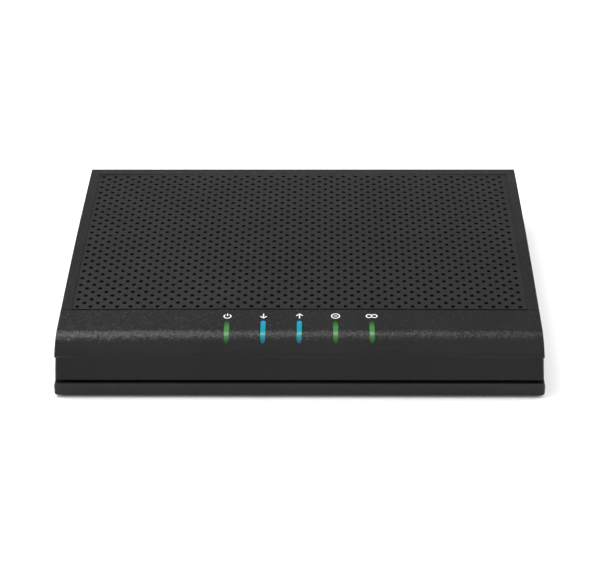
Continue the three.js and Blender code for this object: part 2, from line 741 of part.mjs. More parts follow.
function resetSwitch() {
  const body = block(RESET_X - 3, RESET_X + 3, 58.5, 63.6, ON_BOARD, ON_BOARD + 6.2);
  return body.subtract(rodBack(RESET_X, RESET_Z, 1.9, 60.4, 65));
}

function resetPlunger() {
  return rodBack(RESET_X, RESET_Z, 1.55, 61.3, 65.4, 18);
}

// ---------------------------------------------------------------- assembly

const modem = new THREE.Group();
const assembly = new THREE.Group();
assembly.position.set(0, -OBJECT_CENTRE_Y, 0);
modem.add(assembly);

function add(name, body, colour) {
  const mesh = new THREE.Mesh(geometryOf(body), material(colour));
  mesh.name = name;
  assembly.add(mesh);
}

const SIDES = [['left', -1], ['right', 1]];
const ENDS = ['front', 'rear'];

function addAtCorners(prefix, x, ys, make, colour) {
  for (const [side, sign] of SIDES) {
    ENDS.forEach((end, index) => add(`${prefix}_${end}_${side}`, make(sign * x, ys[index]), colour));
  }
}

add('base_cover', baseCover(), 'housing');
add('body_shell', bodyShell(), 'housing');
add('top_cover', topCover().add(seamRail()), 'housing');
add('vent_panel', ventPanel(), 'housing');
add('front_bezel', frontBezel(), 'housing');
add('rear_panel', rearPanel(), 'smoke');
addAtCorners('foot', FOOT_X, FOOT_Y, foot, 'rubber');
addAtCorners('case_screw', CASE_SCREW_X, CASE_SCREW_Y, caseScrew, 'steel');
addAtCorners('board_screw', BOARD_SCREW_X, BOARD_SCREW_Y, boardScrew, 'steel');

PIPE_NAMES.forEach((name, index) => {
  const colour = name === 'downstream' || name === 'upstream' ? 'bluePipe' : 'greenPipe';
  add(`light_pipe_${name}`, lightPipe(pipeX(index)), colour);
  add(`led_${name}`, led(pipeX(index)), 'whitePlastic');
});

add('main_board', mainBoard(), 'laminate');
add('tuner_shield', tunerShield(), 'nickel');
add('modem_chip', ballGridChip(-6, -6, 20), 'chip');
add('thermal_pad', blockAt(-6, -6, 16, 16, 9.3, 9.9), 'greyPad');
add('heat_sink', heatSink(-6, -6), 'aluminium');
add('memory_chip', ballGridChip(26, -8, 11), 'chip');
add('flash_chip', gullWingChip(32, -30, 6, 5, 1.7, 4), 'chip');
add('ethernet_transformer', gullWingChip(ETHERNET_X, 34, 13, 8, 5.2, 8), 'chip');
add('clock_crystal', clockCrystal(-34, -20), 'nickel');
add('filter_capacitor_a', canCapacitor(56, 38, 4, 19), 'capacitorSleeve');
add('filter_capacitor_b', canCapacitor(45, 38, 4, 19), 'capacitorSleeve');
add('filter_capacitor_c', canCapacitor(60, 20, 3.1, 14.5), 'capacitorSleeve');
add('power_inductor', powerInductor(47, 20), 'chip');
add('coax_body', coaxBody(), 'nickel');
add('coax_insulator', coaxInsulator(), 'whitePlastic');
add('coax_contact', coaxContact(), 'gold');
add('coax_washer', coaxWasher(), 'nickel');
add('coax_nut', coaxNut(), 'nickel');
add('ethernet_jack', ethernetJack(), 'blackPlastic');
add('ethernet_contacts', ethernetContacts(), 'gold');
add('power_jack', powerJack(), 'blackPlastic');
add('power_jack_pin', powerJackPin(), 'nickel');
add('reset_switch', resetSwitch(), 'blackPlastic');
add('reset_plunger', resetPlunger(), 'whitePlastic');

export default modem;
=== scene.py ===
"""The looks of the cable modem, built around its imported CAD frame.

Lengths in this script are millimetres in the case's own frame: X to the right, Y towards the rear
from the case's origin, Z up from the table. place() turns them into the row frame's metres.
"""

import math

import bmesh
import bpy
from mathutils import Matrix, Vector


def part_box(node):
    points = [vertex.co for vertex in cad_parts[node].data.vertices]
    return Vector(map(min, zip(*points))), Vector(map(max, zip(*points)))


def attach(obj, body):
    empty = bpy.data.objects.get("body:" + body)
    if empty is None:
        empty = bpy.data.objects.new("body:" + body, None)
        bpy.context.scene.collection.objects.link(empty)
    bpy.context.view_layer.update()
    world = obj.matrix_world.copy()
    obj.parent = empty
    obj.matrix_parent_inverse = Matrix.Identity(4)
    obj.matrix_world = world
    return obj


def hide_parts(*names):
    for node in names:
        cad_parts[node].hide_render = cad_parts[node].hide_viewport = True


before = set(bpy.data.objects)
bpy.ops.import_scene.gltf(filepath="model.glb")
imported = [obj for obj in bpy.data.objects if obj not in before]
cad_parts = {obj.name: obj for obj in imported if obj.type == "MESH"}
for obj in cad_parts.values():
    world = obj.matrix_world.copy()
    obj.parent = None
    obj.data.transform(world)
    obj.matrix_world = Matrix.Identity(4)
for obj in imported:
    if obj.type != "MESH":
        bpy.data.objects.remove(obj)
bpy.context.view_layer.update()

# ------------------------------------------------------------------ driving values

MM = 0.001
CASE = "case"
BASE_FRONT_Y = -68.9
ORIGIN_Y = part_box("base_cover")[0].y - BASE_FRONT_Y * MM

# Vent panel: a square lattice turned by 45 degrees, crowned from front to back
HOLE_PITCH = 5.0
HOLE_RADIUS = 0.85
HOLE_CHAMFER = 0.05
HOLE_SIDES = 16
HOLE_COLUMNS = 34
HOLE_ROWS = 43
FRONT_ROW_Y = -43.1
LATTICE_SHIFT_X = -0.5
PANEL_THICKNESS = 1.6
PANEL_FRONT_Y = -44.75

# Crowned top, shared by the panel, its border and the bezel
CROWN_RADIUS = 1180.0
CROWN_CENTRE_Y = 9.4
CROWN_PEAK = 25.25
PANEL_RECESS = 0.22
PANEL_MARGIN = 0.2
SIDE_DROP = 0.27
BOW_START_Z = 21.6
BOW_FULL_Z = 23.0
COVER_EDGE_Z = 22.5
COVER_BACK_Y = 68.2
COVER_SIDE_X = 88.5

# Bezel
SEAM_Y = -45.75
SEAM_GAP = 0.3
CAD_BORDER_FRONT_Y = -45.0
LIP_Z = 16.6
LIP_GAP = 0.05
BODY_EDGE_Z = LIP_Z - LIP_GAP
BODY_EDGE_REACH = 0.5
BODY_FRONT_REACH = 0.15
CURVE_START_Y = -58.5
CURVE_RADIUS = 10.0
CURVE_END_TILT = math.radians(70)
TOP_HALF_X = 88.8
TOP_REFERENCE_Z = 24.0
SIDE_DRAFT = math.tan(math.radians(3.2))
BEZEL_WALL = 2.0
BEZEL_SIDE_WALL = BEZEL_WALL + 0.2
BEZEL_COLUMNS = 40

# Light pipes
PIPES = ["power", "downstream", "upstream", "online", "link"]
BLUE_PIPES = ("downstream", "upstream")
PIPE_PITCH = 13.3
PIPE_HALF_WIDTH = 0.92
PIPE_BACK_Y = -53.2
PIPE_FRONT_Y = -64.6
PIPE_CLEARANCE = 0.09
PIPE_TAPER = 2.0
PIPE_BLUNTNESS = 0.8
WINDOW_LEAD = 0.14
PIPE_HEAD_DEPTH = 2.4
PIPE_DOME = 0.06
STEM_MARGIN = 0.15
STEM_FRONT_Y = -57.1
STEM_BACK_Y = -54.1
STEM_TOP_Z = 21.9
WINDOW_ABOVE = 1.5
WINDOW_BELOW = 4.0

# Printed symbols behind the light pipes
SYMBOL_Y = -50.0
SYMBOL_HALF = 1.55
STROKE_WIDTH = 0.38
INK_THICKNESS = 0.03
INK_SINK = 0.02
SHARPEST_CORNER = 0.4

# Coaxial barrel: 3/8 inch, 32 turns to the inch
THREAD_PITCH = 25.4 / 32
THREAD_DEPTH = 0.42
THREAD_STEEPNESS = 1.25
THREAD_CREST = 0.12
THREAD_RADIUS = 4.75
THREAD_CHAMFER = 0.45
PANEL_GAP = 0.3
BARREL_OVERLAP = 2
BORE_RADIUS = 3.5
BORE_MOUTH_RADIUS = 4.1
BORE_MOUTH_DEPTH = 0.3
BORE_BACK_Y = 57
NUT_CHAMFER = 0.5

# Camera
CAMERA_LENS = 118.14
CAMERA_ELEVATION = math.radians(30.38)
CAMERA_AZIMUTH = math.radians(-0.727)
CAMERA_ROLL = math.radians(0.335)
CAMERA_DISTANCE = 774.3
CAMERA_AIM = (1.23, -11.33, 15.0)


def place(x, y, z):
    return Vector((x * MM, y * MM + ORIGIN_Y, z * MM))


def node_box(node):
    """A CAD node's box in the case's frame, in millimetres."""
    low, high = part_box(node)
    shift = Vector((0, ORIGIN_Y, 0))
    return (low - shift) / MM, (high - shift) / MM


# ------------------------------------------------------------------ material tools

class Shader:
    """A material with a Principled shader and short ways to add nodes to it."""

    def __init__(self, name, **constants):
        self.material = bpy.data.materials.new(name)
        self.material.use_nodes = True
        self.nodes = self.material.node_tree.nodes
        self.links = self.material.node_tree.links
        self.principled = self.nodes["Principled BSDF"]
        for key, value in constants.items():
            socket_name = key.replace("_", " ").title().replace("Ior", "IOR")
            self.principled.inputs[socket_name].default_value = value
        self.coordinates = self.nodes.new("ShaderNodeTexCoord").outputs["Object"]

    def node(self, kind, inputs=None, **settings):
        node = self.nodes.new(kind)
        for key, value in settings.items():
            setattr(node, key, value)
        for key, value in (inputs or {}).items():
            if isinstance(value, bpy.types.NodeSocket):
                self.links.new(value, node.inputs[key])
            else:
                node.inputs[key].default_value = value
        return node

    def stretched(self, scale):
        mapping = self.node("ShaderNodeMapping", {"Vector": self.coordinates, "Scale": scale})
        return mapping.outputs["Vector"]

    def noise(self, size_mm, detail=2.0, roughness=0.5, vector=None):
        """Noise whose features are about size_mm across."""
        inputs = {
            "Vector": vector or self.coordinates, "Scale": 1.0 / (size_mm * MM),
            "Detail": detail, "Roughness": roughness,
        }
        return self.node("ShaderNodeTexNoise", inputs).outputs["Fac"]

    def ramp(self, factor, low, high, start=0.3, end=0.7):
        """A value from low to high as the factor goes from start to end."""
        inputs = {
            "Value": factor, "From Min": start, "From Max": end, "To Min": low, "To Max": high,
        }
        return self.node("ShaderNodeMapRange", inputs).outputs["Result"]

    def mix(self, factor, first, second):
        node = self.node("ShaderNodeMix", data_type="RGBA")
        for socket, value in ((node.inputs[0], factor), (node.inputs[6], first), (node.inputs[7], second)):
            if isinstance(value, bpy.types.NodeSocket):
                self.links.new(value, socket)
            elif isinstance(value, tuple):
                socket.default_value = (*value, 1.0)
            else:
                socket.default_value = value
        return node.outputs[2]

    def maths(self, operation, first, second):
        node = self.node("ShaderNodeMath", operation=operation)
        for socket, value in zip(node.inputs, (first, second)):
            if isinstance(value, bpy.types.NodeSocket):
                self.links.new(value, socket)
            else:
                socket.default_value = value
        return node.outputs[0]

    def edges(self, width_mm):
        """0 on flat ground, rising to 1 where the surface turns within width_mm."""
        softened = self.node("ShaderNodeBevel", {"Radius": width_mm * MM}, samples=3).outputs["Normal"]
        normal = self.node("ShaderNodeNewGeometry").outputs["Normal"]
        alike = self.node("ShaderNodeVectorMath", {0: softened, 1: normal}, operation="DOT_PRODUCT")
        return self.ramp(alike.outputs["Value"], 1, 0, 0.75, 0.99)

    def colour(self, socket):
        self.links.new(socket, self.principled.inputs["Base Color"])

    def roughness(self, socket):
        self.links.new(socket, self.principled.inputs["Roughness"])

    def bump(self, height, depth_mm):
        """Raises the surface by the height times depth_mm, and returns the normal that this gives."""
        inputs = {"Height": height, "Distance": depth_mm * MM}
        node = self.node("ShaderNodeBump", inputs)
        self.links.new(node.outputs["Normal"], self.principled.inputs["Normal"])
        return node.outputs["Normal"]

    def facets(self, normal, size_mm, tilt):
        """Tilts the surface by a random amount in each cell of a fine irregular pattern."""
        pattern = {"Vector": self.coordinates, "Scale": 1.0 / (size_mm * MM)}
        cells = self.node("ShaderNodeTexVoronoi", pattern)
        inputs = {0: cells.outputs["Color"], 1: (2 * tilt,) * 3, 2: (-tilt,) * 3}
        turn = self.node("ShaderNodeVectorMath", inputs, operation="MULTIPLY_ADD").outputs["Vector"]
        tilted = self.node("ShaderNodeVectorMath", {0: normal, 1: turn}, operation="ADD").outputs["Vector"]
        unit = self.node("ShaderNodeVectorMath", {0: tilted}, operation="NORMALIZE").outputs["Vector"]
        self.links.new(unit, self.principled.inputs["Normal"])


def scaled(colour, factor):
    return tuple(channel * factor for channel in colour)


# ------------------------------------------------------------------ materials

GRAIN_SIZE = 0.6
FINE_GRAIN_SIZE = GRAIN_SIZE * 0.42
GRAIN_DEPTH = 0.08
COARSE_SHARE = 0.65
FACET_SIZE = 0.38
RUB_WIDTH = 0.25


def grained_plastic(name, colour, facet_tilt, roughness, specular):
    """Black moulded plastic from a spark-eroded tool.

    It has fine grain, facets that tilt at random, faint mottling, and edges rubbed a little paler.
    """
    shader = Shader(name, specular_ior_level=specular)
    mottling = shader.ramp(shader.noise(22, 3), 0, 1)
    body = shader.mix(mottling, scaled(colour, 0.9), scaled(colour, 1.12))
    wear = shader.ramp(shader.noise(6, 4), 0, 0.5)
    rubbed = shader.maths("MULTIPLY", shader.edges(RUB_WIDTH), wear)
    shader.colour(shader.mix(rubbed, body, scaled(colour, 1.6)))
    coarse = shader.maths("MULTIPLY", shader.noise(GRAIN_SIZE, 1.5, 0.6), COARSE_SHARE)
    fine = shader.maths("MULTIPLY", shader.noise(FINE_GRAIN_SIZE, 1.0, 0.5), 1 - COARSE_SHARE)
    grain = shader.maths("ADD", coarse, fine)
    shader.roughness(shader.ramp(grain, roughness - 0.05, roughness + 0.07))
    shader.facets(shader.bump(grain, GRAIN_DEPTH), FACET_SIZE, facet_tilt)
    return shader.material


def satin_plastic(name, colour, roughness):
    """Smooth moulded plastic with faint flow marks."""
    shader = Shader(name, specular_ior_level=0.4)
    flow = shader.noise(7, 3, vector=shader.stretched((1, 0.35, 1)))
    shader.colour(shader.mix(shader.ramp(flow, 0, 1), scaled(colour, 0.88), scaled(colour, 1.12)))
    fine = shader.noise(0.35, 2)
    shader.roughness(shader.ramp(fine, roughness - 0.06, roughness + 0.06))
    shader.bump(fine, 0.006)
    return shader.material


def rubber(name, colour):
    shader = Shader(name, specular_ior_level=0.25)
    dust = shader.ramp(shader.noise(2.2, 4), 0, 1, 0.45, 0.8)
    shader.colour(shader.mix(dust, colour, scaled(colour, 1.8)))
    skin = shader.noise(0.3, 3, 0.7)
    shader.roughness(shader.ramp(skin, 0.75, 0.95))
    shader.bump(skin, 0.03)
    return shader.material


def plated_metal(name, colour, roughness, streak=(1, 1, 1)):
    """Plated or bright metal: colour shifts slightly, with fine scratches along one direction."""
    shader = Shader(name, metallic=1.0)
    cloud = shader.ramp(shader.noise(3.5, 3), 0, 1)
    shader.colour(shader.mix(cloud, scaled(colour, 0.86), scaled(colour, 1.05)))
    scratches = shader.noise(0.25, 3, 0.6, shader.stretched(streak))
    shader.roughness(shader.ramp(scratches, roughness - 0.07, roughness + 0.12))
    shader.bump(scratches, 0.004)
    return shader.material


def light_pipe_plastic(name, unlit_colour, bright, tip):
    """Clear tinted plastic.

    Its colour is painted: darker at its rear end, brightened where it bends as painted light that stands in
    for the glowing pipe, and dulled at its front tip as painted shade.
    """
    shader = Shader(name, specular_ior_level=0.3)
    along = shader.node("ShaderNodeSeparateXYZ", {"Vector": shader.coordinates}).outputs["Y"]
    back = place(0, PIPE_BACK_Y, 0).y
    front = place(0, PIPE_FRONT_Y, 0).y
    # Painted light: the colour brightens from the rear end towards where the pipe bends.
    painted_light_share = shader.ramp(along, 0, 1, back - 0.3 * MM, back - 4.2 * MM)
    # Painted shade: the colour dulls towards the front tip.
    painted_tip_shade = shader.ramp(along, 0, 1, front + 3.4 * MM, front + 0.5 * MM)
    cloud = shader.ramp(shader.noise(0.9, 2), -0.2, 0.2)
    body = shader.mix(shader.maths("ADD", painted_light_share, cloud), unlit_colour, bright)
    shader.colour(shader.mix(painted_tip_shade, body, tip))
    polish = shader.noise(0.8, 2)
    shader.roughness(shader.ramp(polish, 0.16, 0.26))
    shader.bump(polish, 0.012)
    return shader.material


def circuit_laminate(name):
    """Green solder mask with paler tracks under it."""
    shader = Shader(name, specular_ior_level=0.5, roughness=0.35)
    tracks = shader.node("ShaderNodeTexBrick", {
        "Vector": shader.coordinates, "Scale": 1 / (14 * MM), "Mortar Size": 0.03, "Mortar Smooth": 0.2,
        "Color1": (0, 0, 0, 1), "Color2": (0.2, 0.2, 0.2, 1), "Mortar": (1, 1, 1, 1),
    }, offset=0.35).outputs["Fac"]
    cloud = shader.ramp(shader.noise(9, 3), 0, 0.4)
    mask = shader.mix(cloud, (0.012, 0.10, 0.05), (0.02, 0.13, 0.06))
    shader.colour(shader.mix(tracks, mask, (0.06, 0.27, 0.11)))
    shader.bump(tracks, 0.04)
    return shader.material


def printed_ink(name, colour):
    shader = Shader(name, specular_ior_level=0.3)
    cover = shader.ramp(shader.noise(0.18, 3, 0.7), 0, 1, 0.3, 0.75)
    shader.colour(shader.mix(cover, scaled(colour, 0.86), colour))
    shader.roughness(shader.ramp(cover, 0.6, 0.45))
    shader.bump(cover, 0.004)
    return shader.material


def pale_floor(name):
    shader = Shader(name, specular_ior_level=0.2)
    cloud = shader.ramp(shader.noise(90, 3), 0, 1)
    shader.colour(shader.mix(cloud, (0.90, 0.90, 0.90), (0.93, 0.93, 0.93)))
    shader.roughness(shader.ramp(shader.noise(4, 2), 0.75, 0.85))
    return shader.material


HOUSING = grained_plastic(
    "housing_plastic", (0.0100, 0.0100, 0.0102), facet_tilt=0.12, roughness=0.20, specular=0.18)
BODY = grained_plastic(
    "body_plastic", (0.0066, 0.0066, 0.0067), facet_tilt=0.08, roughness=0.30, specular=0.135)
PANEL = grained_plastic(
    "panel_plastic", (0.0104, 0.0104, 0.0106), facet_tilt=0.08, roughness=0.34, specular=0.19)
REAR = grained_plastic(
    "rear_plastic", (0.0098, 0.0098, 0.0100), facet_tilt=0.08, roughness=0.34, specular=0.18)
PORT = satin_plastic("port_plastic", (0.010, 0.010, 0.011), 0.38)
WHITE = satin_plastic("white_plastic", (0.70, 0.70, 0.66), 0.42)
CHIP = satin_plastic("chip_plastic", (0.016, 0.016, 0.018), 0.55)
SLEEVE = satin_plastic("capacitor_sleeve", (0.02, 0.025, 0.045), 0.3)
FERRITE = satin_plastic("ferrite", (0.03, 0.03, 0.032), 0.7)
PAD = satin_plastic("thermal_pad", (0.26, 0.30, 0.34), 0.8)
RUBBER = rubber("foot_rubber", (0.014, 0.014, 0.014))
STEEL = plated_metal("screw_steel", (0.50, 0.50, 0.52), 0.32)
NICKEL = plated_metal("nickel_plating", (0.66, 0.64, 0.60), 0.22, (1, 0.2, 1))
GOLD = plated_metal("gold_plating", (0.80, 0.57, 0.24), 0.24, (1, 0.2, 1))
TIN = plated_metal("tinned_sheet", (0.58, 0.58, 0.57), 0.36, (0.15, 1, 1))
ALUMINIUM = plated_metal("extruded_aluminium", (0.56, 0.57, 0.59), 0.42, (1, 0.06, 1))
LAMINATE = circuit_laminate("circuit_laminate")
# Each light pipe takes its unlit colour at the rear end, the painted light where it bends and the painted
# shade of its front tip.
GREEN_PIPE = light_pipe_plastic(
    "green_light_pipe", (0.003, 0.036, 0.002), (0.036, 0.146, 0.034), (0.010, 0.037, 0.008))
BLUE_PIPE = light_pipe_plastic(
    "blue_light_pipe", (0.0003, 0.205, 0.39), (0.0003, 0.19, 0.21), (0.002, 0.066, 0.10))
INK = printed_ink("white_ink", (0.74, 0.74, 0.74))


# ------------------------------------------------------------------ mesh tools

FLAT_ANGLE = math.radians(0.08)
SHARP_ANGLE = math.radians(35)
WELD_DISTANCE = 0.001 * MM
NEAR_EDGE = 0.15
INNER_EDGE_SHARE = 0.25
INNER_ROUNDING = 0.1


def mesh_object(name, points, faces):
    """An object from millimetre points in the case's frame and the faces between them."""
    mesh = bpy.data.meshes.new(name)
    mesh.from_pydata([place(*point) for point in points], [], faces)
    mesh.validate()
    mesh.update()
    obj = bpy.data.objects.new(name, mesh)
    bpy.context.scene.collection.objects.link(obj)
    return obj


def edit(obj, change):
    """Runs change on the object's mesh as a bmesh."""
    work = bmesh.new()
    work.from_mesh(obj.data)
    change(work)
    work.to_mesh(obj.data)
    work.free()
    obj.data.update()


def face_outwards(obj):
    edit(obj, lambda work: bmesh.ops.recalc_face_normals(work, faces=work.faces))


def keep_result(obj):
    """Replaces the object's mesh with what its modifiers make of it."""
    depsgraph = bpy.context.evaluated_depsgraph_get()
    result = bpy.data.meshes.new_from_object(obj.evaluated_get(depsgraph))
    obj.modifiers.clear()
    obj.data = result


def combine(obj, other, operation):
    """Cuts, joins or intersects obj with other, which is used up."""
    modifier = obj.modifiers.new("combine", "BOOLEAN")
    modifier.operation = operation
    modifier.solver = "EXACT"
    modifier.object = other
    keep_result(obj)
    bpy.data.objects.remove(other)


def shade(obj):
    obj.data.shade_smooth()
    obj.data.set_sharp_from_angle(angle=SHARP_ANGLE)


def flat_region(start):
    """The faces joined to start that lie flat with it, in the order in which they are reached."""
    region = [start]
    reached = {start}
    front = [start]
    while front:
        for edge in front.pop().edges:
            for face in edge.link_faces:
                if face not in reached and face.normal.angle(start.normal, math.pi) < FLAT_ANGLE:
                    region.append(face)
                    reached.add(face)
                    front.append(face)
    return region


def refill_flats(work):
    """Fills the flat ground between rims anew wherever it has many-sided faces.

    Rounding moves the rims of holes, and a many-sided face that winds between holes can fold over itself.
    Faces and edges are kept in a fixed order, so that the fill is the same in each run.
    """
    waiting = [face for face in work.faces if len(face.verts) > 4]
    while waiting:
        start = waiting.pop()
        if not start.is_valid:
            continue
        normal = start.normal.copy()
        region = flat_region(start)
        inside = set(region)
        rim = []
        inner = []
        for edge in dict.fromkeys(edge for face in region for edge in face.edges):
            side = inner if inside.issuperset(edge.link_faces) else rim
            side.append(edge)
        bmesh.ops.delete(work, geom=region, context="FACES_ONLY")
        bmesh.ops.delete(work, geom=inner, context="EDGES")
        bmesh.ops.triangle_fill(work, use_beauty=True, edges=rim, normal=normal)
    bmesh.ops.recalc_face_normals(work, faces=work.faces)


def round_edges(obj, width, weight=None, segments=3, from_angle=28, crowned=False):
    """Rounds the object's sharp edges. weight(a, b) gives an edge's share of the width.

    A crowned object keeps its faces as the rounding makes them, since its shallow facets aren't flat ground.
    """
    def mark(work):
        bmesh.ops.remove_doubles(work, verts=work.verts, dist=WELD_DISTANCE)
        bmesh.ops.dissolve_limit(work, angle_limit=FLAT_ANGLE, verts=work.verts, edges=work.edges)
        layer = work.edges.layers.float.new("bevel_weight_edge")
        for edge in work.edges:
            if len(edge.link_faces) == 2 and edge.calc_face_angle(0) > math.radians(from_angle):
                ends = [(vertex.co - Vector((0, ORIGIN_Y, 0))) / MM for vertex in edge.verts]
                edge[layer] = weight(*ends) if weight else 1.0
    edit(obj, mark)
    bevel = obj.modifiers.new("rounding", "BEVEL")
    bevel.width = width * MM
    bevel.segments = segments
    bevel.limit_method = "WEIGHT"
    bevel.miter_outer = "MITER_ARC"
    keep_result(obj)
    if not crowned:
        edit(obj, refill_flats)
    shade(obj)
    normals = obj.modifiers.new("normals", "WEIGHTED_NORMAL")
    normals.keep_sharp = True
    keep_result(obj)


def dress(obj, material, slot, body=CASE, node=None):
    """Gives a piece its material, and says what it rides on and stands for. The slot is not used."""
    obj.data.materials.clear()
    obj.data.materials.append(material)
    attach(obj, body)
    if node:
        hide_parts(node)


def copy_of(node):
    obj = bpy.data.objects.new(f"{node}_fine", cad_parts[node].data.copy())
    bpy.context.scene.collection.objects.link(obj)
    return obj


def refined(node, material, slot, width, body=CASE):
    """A copy of a CAD node with rounded edges, which stands for the node."""
    obj = copy_of(node)
    round_edges(obj, width)
    dress(obj, material, slot, body, node)


def block(name, x0, x1, y0, y1, z0, z1):
    points = [(x, y, z) for x in (x0, x1) for y in (y0, y1) for z in (z0, z1)]
    faces = [(0, 1, 3, 2), (4, 6, 7, 5), (0, 4, 5, 1), (2, 3, 7, 6), (0, 2, 6, 4), (1, 5, 7, 3)]
    return mesh_object(name, points, faces)


def lofted(name, rings, ends_first=False):
    """A closed body through rings that have the same number of points, from end to end.

    ends_first lists its two end faces before its sides. The order decides how a later cut splits them.
    """
    sides = len(rings[0])
    points = [point for ring in rings for point in ring]
    faces = []
    for level in range(len(rings) - 1):
        for i in range(sides):
            a = level * sides + i
            b = level * sides + (i + 1) % sides
            faces.append((a, b, b + sides, a + sides))
    ends = [tuple(range(sides)), tuple(range(len(points) - sides, len(points)))]
    obj = mesh_object(name, points, ends + faces if ends_first else faces + ends)
    face_outwards(obj)
    return obj


def ring_about(axis_point, y, radius_at, sides):
    """Points round an axis parallel to Y. radius_at(share) is the radius at a share of the turn."""
    axis_x, axis_z = axis_point
    ring = []
    for i in range(sides):
        angle = 2 * math.pi * i / sides
        radius = radius_at(i / sides)
        ring.append((axis_x + radius * math.cos(angle), y, axis_z + radius * math.sin(angle)))
    return ring


def turned(name, axis_point, profile, sides=48):
    """A body turned about an axis parallel to Y. profile is (radius, y) pairs from end to end."""
    return lofted(name, [ring_about(axis_point, y, lambda share: radius, sides) for radius, y in profile])


# ------------------------------------------------------------------ crowned top surface

def crown(y):
    return CROWN_PEAK - (y - CROWN_CENTRE_Y) ** 2 / (2 * CROWN_RADIUS)


def bow(x):
    """Height of the top at x, measured from its middle line: 0 there and negative at the sides."""
    return -SIDE_DROP * (x / TOP_HALF_X) ** 2


def half_width(z):
    return TOP_HALF_X + (TOP_REFERENCE_Z - z) * SIDE_DRAFT


# ------------------------------------------------------------------ perforated vent panel

def cell_outline(x, y, reach):
    """The edge of one hole's cell, anticlockwise from its right tip.

    It has a point for each side of the hole. reach gives the distance from the hole to the cell's right,
    back, left and front tips. Cells are diamonds inside the lattice, and square off towards the panel's
    edge.
    """
    tips = [(reach[0], 0), (0, reach[1]), (-reach[2], 0), (0, -reach[3])]
    half = HOLE_SIDES // 8
    outline = []
    for k in range(4):
        start = Vector(tips[k])
        end = Vector(tips[(k + 1) % 4])
        at_border = reach[k] != HOLE_PITCH / 2 or reach[(k + 1) % 4] != HOLE_PITCH / 2
        middle = start + end if at_border else (start + end) / 2
        for first, last in ((start, middle), (middle, end)):
            outline += [first.lerp(last, i / half) for i in range(half)]
    return [(x + point.x, y + point.y) for point in outline]


def vent_panel():
    """A crowned plate with 1441 holes, their upper edges lightly chamfered, built cell by cell."""
    low, high = node_box("vent_panel")
    margin = Vector((PANEL_MARGIN, PANEL_MARGIN, 0))
    low, high = low - margin, high + margin
    half_pitch = HOLE_PITCH / 2
    first_x = LATTICE_SHIFT_X - (HOLE_COLUMNS - 1) * half_pitch
    points = []
    faces = []
    index_of = {}

    def vertex(x, y, depth):
        key = (round(x, 4), round(y, 4), depth)
        if key not in index_of:
            index_of[key] = len(points)
            points.append((x, y, crown(y) - PANEL_RECESS + bow(x) - depth))
        return index_of[key]

    def ring(x, y, radius, depth):
        angles = [2 * math.pi * i / HOLE_SIDES for i in range(HOLE_SIDES)]
        return [vertex(x + radius * math.cos(a), y + radius * math.sin(a), depth) for a in angles]

    def band(inner, outer):
        for i in range(HOLE_SIDES):
            j = (i + 1) % HOLE_SIDES
            faces.append((inner[i], outer[i], outer[j], inner[j]))

    for row in range(HOLE_ROWS):
        odd = row % 2
        y = FRONT_ROW_Y + row * half_pitch
        columns = HOLE_COLUMNS - odd
        for column in range(columns):
            x = first_x + odd * half_pitch + column * HOLE_PITCH
            reach = [half_pitch] * 4
            if not odd and column == columns - 1:
                reach[0] = high.x - x
            if row == HOLE_ROWS - 1:
                reach[1] = high.y - y
            if not odd and column == 0:
                reach[2] = x - low.x
            if row == 0:
                reach[3] = y - PANEL_FRONT_Y
            outline = cell_outline(x, y, reach)
            upper = [vertex(*point, 0) for point in outline]
            lower = [vertex(*point, PANEL_THICKNESS) for point in outline]
            mouth = ring(x, y, HOLE_RADIUS + HOLE_CHAMFER, 0)
            throat = ring(x, y, HOLE_RADIUS, HOLE_CHAMFER)
            foot = ring(x, y, HOLE_RADIUS, PANEL_THICKNESS)
            for inner, outer in ((mouth, upper), (throat, mouth), (foot, throat), (foot, lower)):
                band(inner, outer)
    obj = mesh_object("vent_panel_fine", points, faces)
    close_sides(obj)
    shade(obj)
    dress(obj, PANEL, "housing", node="vent_panel")


def close_sides(obj):
    """Joins the open rims of the panel's upper and lower faces, and turns every face outwards."""
    def change(work):
        rim = [edge for edge in work.edges if edge.is_boundary]
        bmesh.ops.bridge_loops(work, edges=rim)
        bmesh.ops.recalc_face_normals(work, faces=work.faces)
    edit(obj, change)


# ------------------------------------------------------------------ front bezel

def bezel_profile(offset=0.0, steps=36):
    """(y, z) points of the bezel's surface from the seam to the lip, moved inwards by offset."""
    slope = (CROWN_CENTRE_Y - SEAM_Y) / CROWN_RADIUS
    start_tilt = math.atan(slope)
    seam_z = crown(SEAM_Y)
    start_z = seam_z - (SEAM_Y - CURVE_START_Y) * slope
    centre_y = CURVE_START_Y + CURVE_RADIUS * math.sin(start_tilt)
    centre_z = start_z - CURVE_RADIUS * math.cos(start_tilt)
    radius = CURVE_RADIUS - offset
    points = [(SEAM_Y, seam_z - offset)]
    for i in range(steps + 1):
        tilt = start_tilt + (CURVE_END_TILT - start_tilt) * i / steps
        points.append((centre_y - radius * math.sin(tilt), centre_z + radius * math.cos(tilt)))
    return points


def surface_point(y):
    """Height of the bezel's surface and the direction square to it, at a place along Y."""
    profile = bezel_profile()
    for (ya, za), (yb, zb) in zip(profile, profile[1:]):
        if yb <= y <= ya:
            t = (y - ya) / (yb - ya)
            normal = Vector((0, zb - za, ya - yb)).normalized()
            return za + (zb - za) * t, normal
    raise ValueError(f"the bezel has no surface at y = {y}")


def across(name, outline, half_at, bowed):
    """A solid with a (y, z) outline, stretched along X in even columns.

    half_at(z) is its half width at a height, and bowed(z) says where it follows the top's bow.
    """
    rings = []
    for column in range(BEZEL_COLUMNS + 1):
        share = 2 * column / BEZEL_COLUMNS - 1
        flat = [(share * half_at(z), y, z) for y, z in outline]
        rings.append([(x, y, z + bow(x) if bowed(z) else z) for x, y, z in flat])
    return lofted(name, rings, ends_first=True)


